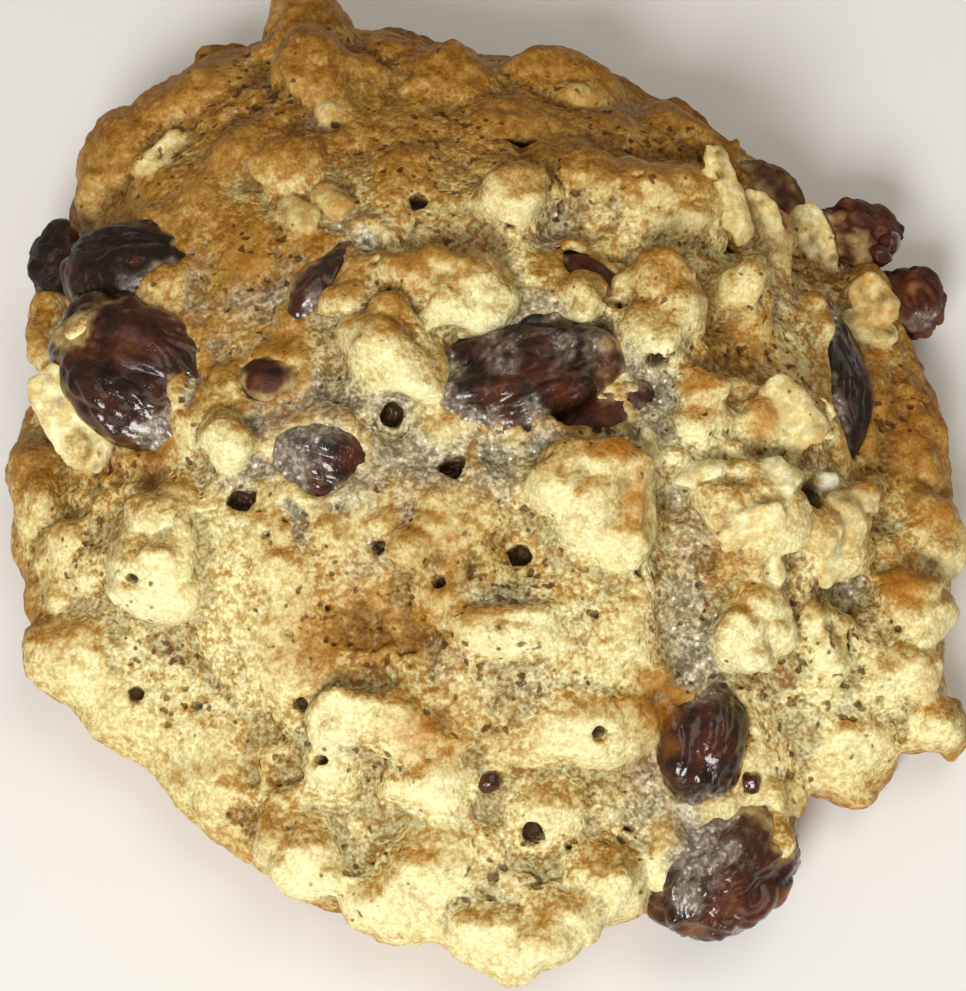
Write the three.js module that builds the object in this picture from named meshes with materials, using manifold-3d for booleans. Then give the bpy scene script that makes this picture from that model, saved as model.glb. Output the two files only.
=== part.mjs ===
// An oatmeal raisin cookie: a heaped drop of oat dough, baked until it spread a little at the rim,
// with lumps of oats pushing through its crust and raisins set in pockets of the dough.
// Millimetres, +Z up, +X right, +Y towards the back. The cookie lies on z = 0.
import * as THREE from "three";
import { mergeVertices } from "three/addons/utils/BufferGeometryUtils.js";
import Module from "manifold-3d";

const wasm = await Module();
wasm.setup();

// Driving sizes
const RIM_HEIGHT = 4.5; // level at which the rim reaches furthest
const FOOT_SHARE = 0.9; // the flat underside's reach as a share of the rim's
const RAISIN_GAP = 0.3; // air left round a raisin in its pocket
const FLAKE_THICKNESS = 0.9;
const LUMP_WAVES = { depth: 0.09, across: 2.6, deep: 3.1 }; // how a lump's surface swells and sinks
const FOLD_DEPTH = 0.07; // share by which the folds in a raisin's skin stand and sink

// The two heaps of dough, one on the other: reach as a share of the rim's, middle in plan, height,
// and how full and how round-shouldered the slope is
const SKIRT = { share: 1, middle: [0, 0], height: 12.5, fullness: 2.6, shoulder: 1.7 };
const MOUND = { share: 0.87, middle: [-1.5, 3], height: 20, fullness: 2.6, shoulder: 1.9 };

// How finely curved surfaces are divided
const HEAP_SIDES = 40;
const HEAP_RINGS = { top: 8, under: 2 };
const FLAKE_SIDES = { around: 8, over: 4 };
const FINE_FROM = 3.9; // balls with a longer half size than this have more faces

// The rim seen from above: its reach from the middle every 15 degrees, from +X towards +Y
const RIM_REACH = [
  34, 34.5, 33, 34, 35, 35.5, 37, 41, 41.5, 41, 37.5, 34,
  35, 34.5, 35, 33, 34, 35, 36, 35, 35, 34, 37.5, 35,
];

// Lumps of oats under the crust: place in plan, half sizes across and deep, how far the top stands
// above the dough, and the turn in degrees. A lump is as tall as its smaller half size.
const LUMPS = [
  // the back slope, with a peak at its left
  { at: [-13, 33], half: [4.2, 5.4], stands: 2.8, turn: 0 },
  { at: [-12.2, 27], half: [2.6, 6], stands: 1.8, turn: 8 },
  { at: [-20.5, 28.5], half: [6.5, 4.5], stands: 1.4, turn: 30 },
  { at: [-26.2, 24.2], half: [5, 4.4], stands: 1.5, turn: 40 },
  { at: [-3.5, 27.5], half: [5, 4], stands: 1.3, turn: 0 },
  { at: [5.5, 28.5], half: [5.6, 4.4], stands: 1.8, turn: -15 },
  { at: [14, 25], half: [4.4, 3.8], stands: 1.2, turn: -30 },
  { at: [2.4, 14.6], half: [3.5, 2.8], stands: 2.3, turn: 10 },
  { at: [7.7, 17.2], half: [3.4, 3.1], stands: 1.3, turn: 0 },
  { at: [13, 16.2], half: [5.8, 4.8], stands: 2.3, turn: -35 },
  { at: [20.4, 15.6], half: [2.8, 3.8], stands: 2, turn: 10 },
  // the crown
  { at: [12.2, 5.6], half: [3.7, 4.8], stands: 2.9, turn: 8 },
  { at: [7.3, 6.4], half: [2.8, 3], stands: 1.5, turn: 0 },
  { at: [18.6, 8.6], half: [2.8, 3], stands: 2.1, turn: 0 },
  { at: [-2.2, 7.2], half: [5, 3], stands: 2.6, turn: -12 },
  { at: [-6.2, 2.6], half: [3.4, 4], stands: 2.8, turn: 15 },
  { at: [-8.9, 7.2], half: [2.6, 2.6], stands: 1.7, turn: 0 },
  { at: [-17.6, -3.6], half: [2.2, 2.3], stands: 1.9, turn: 0 },
  { at: [-5, -11.9], half: [2.6, 2.1], stands: 1.2, turn: 0 },
  { at: [7.3, -8.2], half: [5.6, 4.4], stands: 2.9, turn: -18 },
  // the right side of the mound
  { at: [15.3, -0.9], half: [2.6, 2.7], stands: 1.8, turn: 0 },
  { at: [20.2, -1], half: [3.6, 3], stands: 2.6, turn: 0 },
  { at: [17.7, -7.4], half: [4.2, 3.1], stands: 2.3, turn: -20 },
  { at: [22.3, -7.2], half: [2.4, 2.8], stands: 1.9, turn: 20 },
  { at: [18.4, -14.6], half: [2.9, 4.1], stands: 2.5, turn: -15 },
  { at: [23.8, -14.6], half: [2.9, 3.3], stands: 2.2, turn: 10 },
  { at: [25.5, -8], half: [2.4, 2.9], stands: 2, turn: 30 },
  // the skirt on the right
  { at: [30, -12.2], half: [3.8, 2.7], stands: 2, turn: 0 },
  { at: [32.6, -5.2], half: [2.4, 3.4], stands: 2, turn: 0 },
  { at: [29, -17], half: [3.8, 3], stands: 1.6, turn: 0 },
  { at: [31.2, -19], half: [3.4, 2.8], stands: 1.6, turn: -30 },
  { at: [25.8, -21.8], half: [4, 3.6], stands: 1.3, turn: 0 },
  { at: [31.8, 3], half: [2.6, 5.4], stands: 1.2, turn: 10 },
  { at: [28, 13.4], half: [2.6, 2.8], stands: 2, turn: 0 },
  // the front
  { at: [1.2, -16.6], half: [4.6, 2.7], stands: 1.1, turn: 0 },
  { at: [-7, -21.8], half: [5.4, 2.7], stands: 1.7, turn: 14 },
  { at: [6.3, -21.6], half: [6, 3.9], stands: 1.1, turn: 0 },
  { at: [-12.5, -28.6], half: [3.5, 4.8], stands: 2.3, turn: 15 },
  { at: [-9.8, -24], half: [2.7, 3], stands: 1.7, turn: 0 },
  { at: [-3.6, -25.6], half: [3.6, 3.1], stands: 2.1, turn: 0 },
  { at: [4, -27], half: [4.2, 4], stands: 1.3, turn: 0 },
  { at: [-2.8, -30], half: [5.2, 3.7], stands: 1.6, turn: 0 },
  { at: [7.4, -31], half: [4.6, 3.9], stands: 1.4, turn: 0 },
  { at: [2.4, -34], half: [5.8, 3.8], stands: 2.3, turn: 0 },
  { at: [-5.6, -32.6], half: [5, 3.2], stands: 1.6, turn: -15 },
  // the left side
  { at: [-22.4, -10], half: [4.3, 4.7], stands: 2.2, turn: 20 },
  { at: [-28.6, -8], half: [3.6, 3.8], stands: 1.6, turn: 0 },
  { at: [-32.2, -1.6], half: [2.9, 4.4], stands: 1.6, turn: 0 },
  { at: [-28.8, -14.6], half: [4.2, 3.6], stands: 1.4, turn: -30 },
  { at: [-30.2, 9], half: [2.8, 4.4], stands: 2.4, turn: 5 },
];

// Rolled oats that lie on the crust: place in plan, length and width, turn in plan, tilt off level
// about the flake's own length, and how far the middle stands above the dough
const FLAKES = [
  { at: [-24.4, 22.6], size: [5.2, 2], turn: 48, tilt: 10, stands: 0.4 },
  { at: [-13.9, 17.8], size: [5, 3.6], turn: -10, tilt: 0, stands: 0.4 },
  { at: [-13, 13.2], size: [3.4, 2.6], turn: -35, tilt: 0, stands: 0.5 },
  { at: [2.7, 21.8], size: [6.4, 3.2], turn: -8, tilt: -20, stands: 0.9 },
  { at: [16.6, 22], size: [7.4, 4], turn: -52, tilt: 50, stands: 1.4 },
  { at: [19.2, 18.6], size: [7, 3.8], turn: -60, tilt: 55, stands: 1.8 },
  { at: [23.6, 17.8], size: [5.6, 3.2], turn: -80, tilt: 60, stands: 2 },
  { at: [22.9, -0.4], size: [6.4, 4.6], turn: -40, tilt: 40, stands: 2 },
  { at: [20.6, -9.6], size: [5.4, 3.2], turn: 35, tilt: 30, stands: 1.8 },
  { at: [18.9, -16.6], size: [5.8, 3.2], turn: 112, tilt: 35, stands: 2.3 },
  { at: [-29.2, 0.2], size: [7.4, 3.4], turn: 112, tilt: 45, stands: 1.6 },
  { at: [26.6, -6.6], size: [5, 3], turn: 62, tilt: 20, stands: 1.9 },
  { at: [28.2, 11.6], size: [4.6, 3.4], turn: 20, tilt: 10, stands: 2 },
  { at: [9.9, -11.4], size: [5, 2.6], turn: 50, tilt: 30, stands: 1.1 },
];

// Raisins: middle, half sizes along, across and through, turns about +X, +Y and +Z in degrees,
// how many folds run along the skin, and the sideways bow of a curled one
const RAISINS = {
  raisin_left_back: { at: [-24.2, 11.6, 12.6], half: [6, 4, 3.8], turns: [0, 8, -10], folds: 5 },
  raisin_left_tip: { at: [-31.4, 15.4, 9], half: [2.4, 2.8, 2.8], turns: [0, 0, 20], folds: 4 },
  raisin_left_front: { at: [-23.6, 3.8, 13.6], half: [7.2, 5.6, 4], turns: [-20, 12, -32], folds: 5 },
  raisin_sliver: { at: [-11.1, 9.2, 17.8], half: [4.2, 1.4, 1.9], turns: [0, 10, 60], folds: 4 },
  raisin_veiled: { at: [-14.5, 1.2, 17.4], half: [2.5, 2, 1.8], turns: [0, 0, -10], folds: 4 },
  raisin_mid_left: { at: [-10.9, -4.7, 17.2], half: [3.6, 2.9, 2.5], turns: [0, 0, -30], folds: 5 },
  raisin_centre: { at: [2.5, 0.9, 18.2], half: [7.4, 3.6, 2.9], turns: [-8, -4, 21], folds: 5 },
  raisin_centre_right: { at: [8.4, -1.2, 16.4], half: [3.8, 2.2, 2.1], turns: [0, -6, 30], folds: 4 },
  raisin_peeking: { at: [7.6, 8.9, 17.8], half: [3.4, 1.5, 1.8], turns: [0, 0, -32], folds: 4, bow: 0.5 },
  raisin_right_long: { at: [25.9, 5.7, 9.2], half: [7.2, 2.2, 3], turns: [0, 0, 97], folds: 4, bow: 1.2 },
  raisin_far_brown: { at: [21.7, 22.6, 7.2], half: [3.6, 2.3, 2.4], turns: [0, 0, -40], folds: 3 },
  raisin_far_dark: { at: [28.2, 19.4, 6.2], half: [3.2, 2.6, 2.6], turns: [0, 0, -20], folds: 5 },
  raisin_far_red: { at: [32.2, 14.4, 5.2], half: [2.6, 2.4, 2.3], turns: [0, 0, -50], folds: 3 },
  raisin_front_upper: { at: [15.1, -22.1, 8.8], half: [4.2, 2.9, 2.9], turns: [0, 0, 86], folds: 4 },
  raisin_front_lower: { at: [16.9, -30.3, 4.7], half: [6, 4.2, 3.6], turns: [0, 14, 44], folds: 5 },
};

const radians = THREE.MathUtils.degToRad;

// The rim's reach in a direction, on a smooth curve through RIM_REACH
const rimCurve = new THREE.CatmullRomCurve3(
  RIM_REACH.map((reach, i) => {
    const angle = (i / RIM_REACH.length) * 2 * Math.PI;
    return new THREE.Vector3(angle, reach, 0);
  }).concat(new THREE.Vector3(2 * Math.PI, RIM_REACH[0], 0)),
);

function rimReach(angle) {
  const share = THREE.MathUtils.euclideanModulo(angle / (2 * Math.PI), 1);
  return rimCurve.getPoint(share).y;
}

// Height of a heap of dough above z = 0 at a share of the way from its middle to its rim
function heapHeight(heap, share) {
  const rise = Math.pow(Math.max(0, 1 - Math.pow(share, heap.fullness)), 1 / heap.shoulder);
  return RIM_HEIGHT + (heap.height - RIM_HEIGHT) * rise;
}

// Height of the plain dough, before lumps, at a place in plan
function doughHeight(x, y) {
  const heights = [SKIRT, MOUND].map((heap) => {
    const [dx, dy] = [x - heap.middle[0], y - heap.middle[1]];
    const share = Math.hypot(dx, dy) / (heap.share * rimReach(Math.atan2(dy, dx)));
    return share < 1 ? heapHeight(heap, share) : 0;
  });
  return Math.max(RIM_HEIGHT, ...heights);
}

// A closed geometry as a solid that can be joined and cut
function solidOf(geometry) {
  const bare = new THREE.BufferGeometry();
  bare.setAttribute("position", geometry.getAttribute("position"));
  bare.setIndex(geometry.index);
  const merged = mergeVertices(bare, 1e-4);
  const mesh = new wasm.Mesh({
    numProp: 3,
    vertProperties: new Float32Array(merged.attributes.position.array),
    triVerts: new Uint32Array(merged.index.array),
  });
  return new wasm.Manifold(mesh);
}

function geometryOf(solid) {
  const { numProp, vertProperties, triVerts } = solid.getMesh();
  const position = new Float32Array((vertProperties.length / numProp) * 3);
  for (let i = 0; i < position.length; i++) {
    position[i] = vertProperties[Math.floor(i / 3) * numProp + (i % 3)];
  }
  const geometry = new THREE.BufferGeometry();
  geometry.setAttribute("position", new THREE.BufferAttribute(position, 3));
  geometry.setIndex(new THREE.BufferAttribute(new Uint32Array(triVerts), 1));
  geometry.computeVertexNormals();
  return geometry;
}

// Moves every vertex of a geometry by a function of its place
function reshape(geometry, move) {
  const place = new THREE.Vector3();
  const position = geometry.getAttribute("position");
  for (let i = 0; i < position.count; i++) {
    move(place.fromBufferAttribute(position, i));
    position.setXYZ(i, place.x, place.y, place.z);
  }
  return geometry;
}

// A heap of dough: a turned profile of unit radius, pulled out to the rim's reach
function heapSolid(heap) {
  const profile = [];
  for (let i = 0; i <= HEAP_RINGS.top; i++) {
    const share = Math.sin((i / HEAP_RINGS.top) * (Math.PI / 2));
    profile.push(new THREE.Vector2(share, heapHeight(heap, share)));
  }
  for (let i = 1; i <= HEAP_RINGS.under; i++) {
    const angle = (i / HEAP_RINGS.under) * (Math.PI / 2);
    const share = FOOT_SHARE + (1 - FOOT_SHARE) * Math.cos(angle);
    profile.push(new THREE.Vector2(share, RIM_HEIGHT * (1 - Math.sin(angle))));
  }
  profile.push(new THREE.Vector2(0, 0));
  const turned = new THREE.LatheGeometry(profile.reverse(), HEAP_SIDES).rotateX(Math.PI / 2);
  reshape(turned, (place) => {
    const reach = heap.share * rimReach(Math.atan2(place.y, place.x));
    place.x = heap.middle[0] + place.x * reach;
    place.y = heap.middle[1] + place.y * reach;
  });
  return solidOf(turned);
}

// An even ball of unit radius, with more faces for a large piece than for a small one
function unitBall(halfLength) {
  return new THREE.IcosahedronGeometry(1, halfLength > FINE_FROM ? 2 : 1);
}

// A lump pushing through the crust: an uneven ball set in the dough
function lumpSolid({ at, half, stands, turn }) {
  const [wide, deep] = half;
  const tall = Math.min(wide, deep);
  const ball = reshape(unitBall(wide), (place) => {
    const wave = Math.sin(LUMP_WAVES.across * place.x + at[0]);
    const counterWave = Math.cos(LUMP_WAVES.deep * place.y + at[1]);
    place.multiplyScalar(1 + LUMP_WAVES.depth * wave * counterWave);
  });
  ball.scale(wide, deep, tall).rotateZ(radians(turn));
  ball.translate(at[0], at[1], doughHeight(...at) + stands - tall);
  return solidOf(ball);
}

// A rolled oat: a thin oval, thicker in the middle, tilted on the crust
function flakeSolid({ at, size, turn, tilt, stands }) {
  const oval = new THREE.SphereGeometry(1, FLAKE_SIDES.around, FLAKE_SIDES.over);
  oval.scale(size[0] / 2, size[1] / 2, FLAKE_THICKNESS / 2);
  oval.rotateX(radians(tilt)).rotateZ(radians(turn));
  oval.translate(at[0], at[1], doughHeight(...at) + stands);
  return solidOf(oval);
}

// A raisin's skin, grown outwards by a clearance: a ball with folds running along it
function raisinSkin({ half, folds, bow = 0 }, clearance) {
  return reshape(unitBall(half[0]), (place) => {
    const around = Math.atan2(place.z, place.y);
    const fold = 1 + FOLD_DEPTH * Math.sin(folds * around + 2 * place.x);
    const [x, y, z] = [place.x, place.y * fold, place.z * fold];
    place.set(
      x * (half[0] + clearance),
      y * (half[1] + clearance) + bow * x * x,
      z * (half[2] + clearance),
    );
  });
}

// Puts an object where a raisin lies, and returns its matrix
function placeRaisin(object, { at, turns }) {
  object.position.set(...at);
  object.rotation.set(...turns.map(radians), "ZYX");
  object.updateMatrix();
  return object.matrix;
}

// The largest piece of a solid, without loose scraps
function largestPiece(solid) {
  return solid.decompose().reduce((a, b) => (a.volume() > b.volume() ? a : b));
}

const material = {
  dough: new THREE.MeshStandardMaterial({ color: 0xc79a55, roughness: 0.75, metalness: 0 }),
  raisin: new THREE.MeshStandardMaterial({ color: 0x3a1f1a, roughness: 0.35, metalness: 0 }),
};

// Raisins first: each takes its own place, cut clear of those before it
const floorSize = 200;
const floor = new THREE.BoxGeometry(floorSize, floorSize, floorSize);
const floorSolid = solidOf(floor.translate(0, 0, -floorSize / 2));
const raisinMeshes = [];
const pockets = [];
for (const [name, raisin] of Object.entries(RAISINS)) {
  const mesh = new THREE.Mesh(undefined, material.raisin);
  mesh.name = name;
  const matrix = placeRaisin(mesh, raisin);
  let solid = solidOf(raisinSkin(raisin, 0).applyMatrix4(matrix)).subtract(floorSolid);
  for (const pocket of pockets) {
    solid = solid.subtract(pocket);
  }
  mesh.geometry = geometryOf(largestPiece(solid)).applyMatrix4(matrix.clone().invert());
  raisinMeshes.push(mesh);
  pockets.push(solidOf(raisinSkin(raisin, RAISIN_GAP).applyMatrix4(matrix)));
}

// The dough: heaps, lumps and oats joined, cut flat below, with the raisins' pockets cut out
let doughSolid = heapSolid(SKIRT).add(heapSolid(MOUND));
for (const lump of LUMPS) {
  doughSolid = doughSolid.add(lumpSolid(lump));
}
for (const flake of FLAKES) {
  doughSolid = doughSolid.add(flakeSolid(flake));
}
doughSolid = doughSolid.subtract(floorSolid);
for (const pocket of pockets) {
  doughSolid = doughSolid.subtract(pocket);
}
const dough = new THREE.Mesh(geometryOf(largestPiece(doughSolid)), material.dough);
dough.name = "dough";

// The origin is the middle of the cookie's box, on the surface that it lies on
const cookie = new THREE.Group();
cookie.add(dough, ...raisinMeshes);
const middle = new THREE.Box3().setFromObject(cookie, true).getCenter(new THREE.Vector3());
cookie.position.set(-middle.x, -middle.y, 0);

export default cookie;
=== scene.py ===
import math
import random

import bmesh
import bpy
import numpy as np
from mathutils import Matrix, Vector, noise
from mathutils.bvhtree import BVHTree


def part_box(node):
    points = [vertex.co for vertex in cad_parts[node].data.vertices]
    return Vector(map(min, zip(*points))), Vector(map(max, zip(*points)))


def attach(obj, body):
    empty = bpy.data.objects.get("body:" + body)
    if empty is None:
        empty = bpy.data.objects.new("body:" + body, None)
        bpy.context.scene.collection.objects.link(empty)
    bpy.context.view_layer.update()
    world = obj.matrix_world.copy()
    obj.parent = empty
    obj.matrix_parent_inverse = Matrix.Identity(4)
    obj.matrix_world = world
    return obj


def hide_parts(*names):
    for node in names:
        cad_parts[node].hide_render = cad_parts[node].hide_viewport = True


noise.seed_set(1)  # noise_vector follows the clock without it

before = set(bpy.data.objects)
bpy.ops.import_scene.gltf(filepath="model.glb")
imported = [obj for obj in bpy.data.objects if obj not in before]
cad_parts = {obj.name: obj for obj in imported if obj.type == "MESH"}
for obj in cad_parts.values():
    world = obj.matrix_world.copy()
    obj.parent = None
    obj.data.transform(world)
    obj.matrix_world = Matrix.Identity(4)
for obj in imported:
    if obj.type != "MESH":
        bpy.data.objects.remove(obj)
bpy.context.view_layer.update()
mm = 0.001
up = Vector((0, 0, 1))

crownLow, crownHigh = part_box("raisin_centre")  # the raisin on the crown, which the view is set from
crown = (crownLow + crownHigh) / 2 / mm
print("frame loaded, crown raisin at", [round(v, 1) for v in crown])

# the main view; places in the tables below are the pixels they show at in it
view = {
    "elevation": 65,
    "distance": 230,
    "aim": (-2.5, -3.9, 8),  # in plan from the crown raisin, and height
    "width": 966,
    "height": 991,
    "widthShown": 70,  # mm across the picture, at the aim
    "sensor": 36,
    "tries": 20,  # places next to a pixel that are tried where nothing shows at it
    "tryStep": 100,  # and how many of them would reach the middle
}

aim = Vector((crown.x + view["aim"][0], crown.y + view["aim"][1], view["aim"][2]))
rise = math.radians(view["elevation"])
ahead = Vector((0, math.cos(rise), -math.sin(rise)))
across = Vector((1, 0, 0))
upward = across.cross(ahead)
viewer = aim - ahead * view["distance"]
pixel = view["widthShown"] / view["width"]


def seenAt(tree, u, v):  # the place and normal of the surface that shows at pixel (u, v), or next to it
    offset = across * (u - view["width"] / 2) - upward * (v - view["height"] / 2)
    for inwards in range(view["tries"]):
        ray = ahead * view["distance"] + offset * pixel * (1 - inwards / view["tryStep"])
        place, normal, _, _ = tree.ray_cast(viewer, ray)
        if place:
            return place, normal
    raise ValueError(f"nothing shows near {u}, {v}")


def newObject(name, mesh):
    obj = bpy.data.objects.new(name, mesh)
    bpy.context.scene.collection.objects.link(obj)
    return obj


def objectFrom(name, body):  # from a bmesh in mm
    for vert in body.verts:
        vert.co *= mm
    mesh = bpy.data.meshes.new(name)
    body.to_mesh(mesh)
    body.free()
    return newObject(name, mesh)


def settle(obj):  # applies the modifiers
    shaped = bpy.data.meshes.new_from_object(obj.evaluated_get(bpy.context.evaluated_depsgraph_get()))
    old = obj.data
    obj.modifiers.clear()
    obj.data = shaped
    bpy.data.meshes.remove(old)
    shaped.name = obj.name


def knead(obj, voxel, softening):  # one even skin, with its edges softened
    remesh = obj.modifiers.new("skin", "REMESH")
    remesh.mode = "VOXEL"
    remesh.voxel_size = voxel * mm
    soften = obj.modifiers.new("soften", "SMOOTH")
    soften.factor = 0.5
    soften.iterations = softening
    settle(obj)


def dropSpecks(obj, least):  # takes away loose shells with fewer corners than least
    body = bmesh.new()
    body.from_mesh(obj.data)
    seen, specks, dropped = set(), [], 0
    for start in body.verts:
        if start in seen:
            continue
        seen.add(start)
        shell = [start]
        for vert in shell:  # it grows while it is walked
            for edge in vert.link_edges:
                other = edge.other_vert(vert)
                if other not in seen:
                    seen.add(other)
                    shell.append(other)
        if len(shell) < least:
            specks += shell
            dropped += 1
    bmesh.ops.delete(body, geom=specks, context="VERTS")
    body.to_mesh(obj.data)
    body.free()
    print(obj.name, "specks dropped", dropped)


def nodeCopy(node):  # a bmesh of the CAD node's faces, joined up, in mm
    body = bmesh.new()
    body.from_mesh(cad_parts[node].data)
    for vert in body.verts:
        vert.co /= mm
    bmesh.ops.remove_doubles(body, verts=body.verts, dist=0.002)
    return body


def rowsOf(items, field):
    flat = np.empty(len(items) * 3, np.float32)
    items.foreach_get(field, flat)
    return flat.reshape(-1, 3).astype(float)


def placesOf(obj):
    return rowsOf(obj.data.vertices, "co") / mm


def normalsOf(obj):
    return rowsOf(obj.data.vertex_normals, "vector")


def setPlaces(obj, places):
    obj.data.vertices.foreach_set("co", (places * mm).astype(np.float32).ravel())
    obj.data.update()


def setMask(obj, name, values):
    mask = obj.data.attributes.new(name, "FLOAT", "POINT")
    mask.data.foreach_set("value", np.clip(values, 0, 1).astype(np.float32))


def treeOf(*objects):  # for rays and distances, in mm
    body = bmesh.new()
    for obj in objects:
        body.from_mesh(obj.data)
    for vert in body.verts:
        vert.co /= mm
    tree = BVHTree.FromBMesh(body)
    body.free()
    return tree


def distances(tree, places, furthest):
    found = [tree.find_nearest(place, furthest)[3] for place in places.tolist()]
    return np.array([furthest if far is None else far for far in found])


def standing(obj, rounds):  # how far each place stands above its blurred surroundings
    places, normals = placesOf(obj), normalsOf(obj)
    ends = np.empty(len(obj.data.edges) * 2, np.int32)
    obj.data.edges.foreach_get("vertices", ends)
    a, b = ends.reshape(-1, 2).T
    count = len(places)
    share = 1 / np.maximum(np.bincount(a, minlength=count) + np.bincount(b, minlength=count), 1)
    blurred = places.copy()
    for _ in range(rounds):
        lines = [np.bincount(a, line[b], count) + np.bincount(b, line[a], count) for line in blurred.T]
        blurred = np.stack(lines, 1) * share[:, None]
    return ((places - blurred) * normals).sum(1)


# patterns over places, with sizes in mm


def swell(places, size, seed):  # soft unevenness, about -1 to 1
    shift = Vector((31.7 * seed, 11.3 * seed, 7.9 * seed))
    return np.array([noise.noise(Vector(place) / size + shift) for place in places.tolist()]) * 1.6


def drift(places, size, seed):  # a soft wander in every direction
    shift = Vector((13.1 * seed, 29.9 * seed, 5.3 * seed))
    return np.array([noise.noise_vector(Vector(place) / size + shift) for place in places.tolist()])


def cobbles(places, size, seed):  # plates with creases between them, 0 in a crease to about 1
    shift = Vector((3.7 * seed, 17.9 * seed, 23.1 * seed))
    gaps = [noise.voronoi(Vector(place) / size + shift)[0] for place in places.tolist()]
    return np.array([near[1] - near[0] for near in gaps])


def ramp(values, low, high):
    share = np.clip((values - low) / (high - low), 0, 1)
    return share * share * (3 - 2 * share)


def patches(tree, places, spots):  # soft round patches: pixel, radius in mm, strength
    total = np.zeros(len(places))
    for u, v, radius, strength in spots:
        far = np.linalg.norm(places - np.array(seenAt(tree, u, v)[0]), axis=1) / radius
        total = np.maximum(total, strength * np.exp(-far * far))
    return total


doughLook = {
    "voxel": 0.3,
    "softening": 5,
    "fineVoxel": 0.2,
    "fineSoftening": 3,
    "faces": 192000,
    "leastShell": 40,  # corners of the smallest loose dab that stays
    "rimSwell": 0.3,  # how far the crust swells up round the raisins
}

# small lumps in the crust: pixel, half width and half height in mm
knobs = [
    # crown
    (395, 270, 2.2, 1.6), (430, 262, 2.4, 1.7), (470, 275, 2.0, 1.6), (497, 300, 1.6, 1.5),
    (455, 300, 2.0, 1.3), (350, 330, 1.8, 1.5), (385, 345, 2.0, 1.8), (412, 365, 1.6, 1.9),
    (365, 375, 1.7, 1.3), (345, 300, 1.5, 1.3), (395, 310, 1.8, 1.5), (365, 225, 1.8, 1.5),
    (388, 234, 1.0, 0.9), (515, 185, 2.4, 2.0), (545, 160, 1.8, 1.3), (500, 165, 1.6, 1.2),
    (575, 150, 1.6, 1.0), (600, 190, 1.4, 1.1), (628, 205, 1.2, 1.0), (650, 186, 1.7, 1.2),
    (640, 230, 1.3, 1.0), (690, 215, 1.4, 1.1), (670, 240, 1.2, 0.9), (610, 236, 1.2, 0.9),
    (650, 275, 2.6, 2.2), (685, 300, 1.9, 2.4), (664, 345, 1.8, 1.7), (640, 320, 1.6, 1.8),
    (742, 285, 2.0, 1.8), (757, 263, 1.0, 0.8), (815, 322, 1.6, 2.0), (590, 300, 1.4, 1.6),
    # right of the crown
    (700, 385, 2.2, 1.7), (738, 386, 1.8, 1.5), (762, 418, 1.8, 1.6), (694, 430, 1.8, 1.6),
    (726, 446, 1.8, 1.4), (702, 476, 1.5, 1.2), (745, 470, 1.9, 1.3), (720, 502, 2.2, 1.3),
    (757, 508, 1.6, 1.2), (784, 480, 1.4, 1.6), (676, 456, 1.0, 0.9), (650, 446, 0.7, 1.5),
    (575, 456, 2.4, 1.6), (615, 464, 2.0, 1.7), (640, 490, 1.4, 2.2), (600, 502, 2.0, 1.5),
    (550, 482, 1.8, 1.5), (580, 532, 1.6, 1.1), (636, 532, 1.2, 1.4), (725, 545, 1.8, 1.4),
    (762, 560, 2.0, 1.5), (790, 530, 1.6, 1.2), (735, 592, 1.8, 1.9), (766, 602, 1.6, 1.6),
    (800, 580, 1.2, 2.2), (818, 546, 1.2, 1.8), (845, 520, 1.5, 1.2), (866, 494, 1.5, 1.1),
    (746, 636, 1.6, 2.0), (782, 632, 1.6, 2.2), (750, 664, 1.3, 1.6), (815, 618, 1.0, 1.4),
    (846, 570, 1.0, 1.4),
    # far right
    (905, 588, 2.6, 1.5), (924, 606, 1.4, 0.9), (890, 570, 1.4, 1.1), (926, 510, 1.6, 2.0),
    (940, 540, 1.0, 1.0), (882, 545, 0.9, 1.6), (905, 540, 1.0, 1.2), (925, 640, 1.5, 1.0),
    (872, 652, 1.3, 1.3), (938, 664, 1.1, 0.9), (930, 728, 1.5, 0.9), (900, 745, 1.6, 0.9),
    (850, 732, 1.6, 1.1), (925, 692, 1.4, 1.1), (820, 692, 1.4, 1.1), (868, 298, 1.4, 1.2),
    (868, 330, 1.6, 1.1),
    # left
    (105, 505, 1.8, 1.4), (150, 508, 2.2, 1.7), (186, 535, 1.4, 2.1), (168, 556, 1.8, 1.3),
    (75, 535, 1.8, 1.4), (95, 576, 1.6, 1.2), (45, 500, 1.2, 1.8), (122, 592, 1.7, 0.9),
    (60, 600, 1.3, 1.5), (190, 592, 1.2, 0.9), (225, 436, 1.7, 1.7),
    # front
    (345, 655, 2.3, 0.6), (385, 650, 1.6, 0.6), (362, 700, 3.4, 0.9), (425, 692, 2.4, 0.9),
    (320, 708, 1.4, 1.1), (345, 736, 1.8, 0.9), (378, 724, 1.2, 0.9), (290, 792, 2.1, 1.0),
    (265, 830, 0.9, 1.8), (312, 846, 1.8, 0.8), (282, 866, 1.4, 0.9), (415, 745, 1.9, 0.9),
    (450, 755, 1.7, 0.8), (402, 782, 1.8, 0.7), (472, 776, 1.2, 0.8), (430, 862, 1.8, 0.8),
    (392, 878, 1.5, 0.8), (480, 922, 2.4, 1.0), (532, 946, 2.3, 1.3), (572, 908, 1.6, 0.8),
    (610, 884, 1.6, 1.0), (500, 560, 1.6, 0.9), (470, 540, 1.5, 0.8), (512, 590, 2.1, 0.9),
    (546, 596, 1.8, 0.8), (420, 528, 1.5, 0.8), (386, 520, 1.3, 0.8), (524, 966, 1.8, 1.4),
    # back peak
    (284, 74, 3.0, 2.4), (352, 72, 3.0, 2.2), (385, 52, 2.4, 1.6), (262, 52, 2.2, 1.6),
    (318, 60, 2.6, 3.0), (327, 110, 0.9, 0.8),
]
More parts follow.
